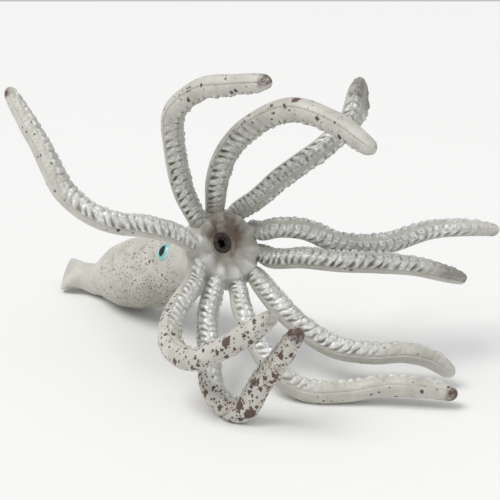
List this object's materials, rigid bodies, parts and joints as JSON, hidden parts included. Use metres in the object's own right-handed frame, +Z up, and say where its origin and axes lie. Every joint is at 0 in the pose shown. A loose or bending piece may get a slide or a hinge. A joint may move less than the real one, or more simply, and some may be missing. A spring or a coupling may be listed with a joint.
{
  "type": "toy squid figure",
  "caption": "Moulded toy squid with a spotted body, tail fin, beaked mouth and curling sucker-lined arms that flex at their roots.",
  "frame": {"origin": "on the table, under the middle of the figure's bounding box", "axes": "-Y is the way the mouth faces, +Y the tail, +X the figure's left, +Z up"},
  "size_m": [0.1562, 0.2328, 0.1265],
  "materials": {
    "body_skin": "semi-matte soft vinyl, warm grey-cream with a fine dark brown spatter",
    "arm_skin": "semi-matte soft vinyl with pearl silver on the raised suckers and grey wash between them",
    "mouth_skin": "dark brown painted lip",
    "beak": "glossy near-black",
    "eye": "gloss teal bead with a black pupil"
  },
  "bodies": {
    "body": {"head": "body_skin", "mantle": "body_skin", "tail_fin": "body_skin", "mouth_ring": "mouth_skin", "upper_beak": "beak", "lower_beak": "beak", "eye_right": "eye", "eye_left": "eye"},
    "arm_1": {"arm_1": "arm_skin"},
    "arm_2": {"arm_2": "arm_skin"},
    "arm_3": {"arm_3": "arm_skin"},
    "arm_4": {"arm_4": "arm_skin"},
    "arm_5": {"arm_5": "arm_skin"},
    "arm_6": {"arm_6": "arm_skin"},
    "arm_7": {"arm_7": "arm_skin"},
    "arm_8": {"arm_8": "arm_skin"},
    "arm_9": {"arm_9": "arm_skin"},
    "arm_10": {"arm_10": "arm_skin"}
  },
  "joints": [
    {"name": "arm_1_flex", "type": "hinge", "parent": "body", "child": "arm_1", "pos_m": [-0.02916, -0.00896, 0.05232], "axis": [-0.3661, -0.3846, -0.8474], "range_deg": [-12, 12], "stiffness_Nm_per_rad": 0.8},
    {"name": "arm_2_flex", "type": "hinge", "parent": "body", "child": "arm_2", "pos_m": [-0.02387, -0.0066, 0.05834], "axis": [-0.8383, -0.1517, -0.5237], "range_deg": [-12, 12], "stiffness_Nm_per_rad": 0.8},
    {"name": "arm_3_flex", "type": "hinge", "parent": "body", "child": "arm_3", "pos_m": [-0.01584, -0.00655, 0.06064], "axis": [-0.9903, 0.1392, 0], "range_deg": [-12, 12], "stiffness_Nm_per_rad": 0.8},
    {"name": "arm_4_flex", "type": "hinge", "parent": "body", "child": "arm_4", "pos_m": [-0.00814, -0.00881, 0.05834], "axis": [-0.764, 0.3768, 0.5237], "range_deg": [-12, 12], "stiffness_Nm_per_rad": 0.8},
    {"name": "arm_5_flex", "type": "hinge", "parent": "body", "child": "arm_5", "pos_m": [-0.00371, -0.01253, 0.05232], "axis": [-0.2459, 0.4706, 0.8474], "range_deg": [-5, 12], "stiffness_Nm_per_rad": 0.8},
    {"name": "arm_6_flex", "type": "hinge", "parent": "body", "child": "arm_6", "pos_m": [-0.00424, -0.01629, 0.04488], "axis": [0.3661, 0.3846, 0.8474], "range_deg": [-12, 10], "stiffness_Nm_per_rad": 0.8},
    {"name": "arm_7_flex", "type": "hinge", "parent": "body", "child": "arm_7", "pos_m": [-0.00952, -0.01864, 0.03886], "axis": [0.8383, 0.1517, 0.5237], "range_deg": [-12, 12], "stiffness_Nm_per_rad": 0.8},
    {"name": "arm_8_flex", "type": "hinge", "parent": "body", "child": "arm_8", "pos_m": [-0.01755, -0.0187, 0.03656], "axis": [0.9903, -0.1392, 0], "range_deg": [-12, 12], "stiffness_Nm_per_rad": 0.8},
    {"name": "arm_9_flex", "type": "hinge", "parent": "body", "child": "arm_9", "pos_m": [-0.02525, -0.01643, 0.03886], "axis": [0.764, -0.3768, -0.5237], "range_deg": [-5, 12], "stiffness_Nm_per_rad": 0.8},
    {"name": "arm_10_flex", "type": "hinge", "parent": "body", "child": "arm_10", "pos_m": [-0.02968, -0.01271, 0.04488], "axis": [0.2459, -0.4706, -0.8474], "range_deg": [-5, 12], "stiffness_Nm_per_rad": 0.8}
  ]
}
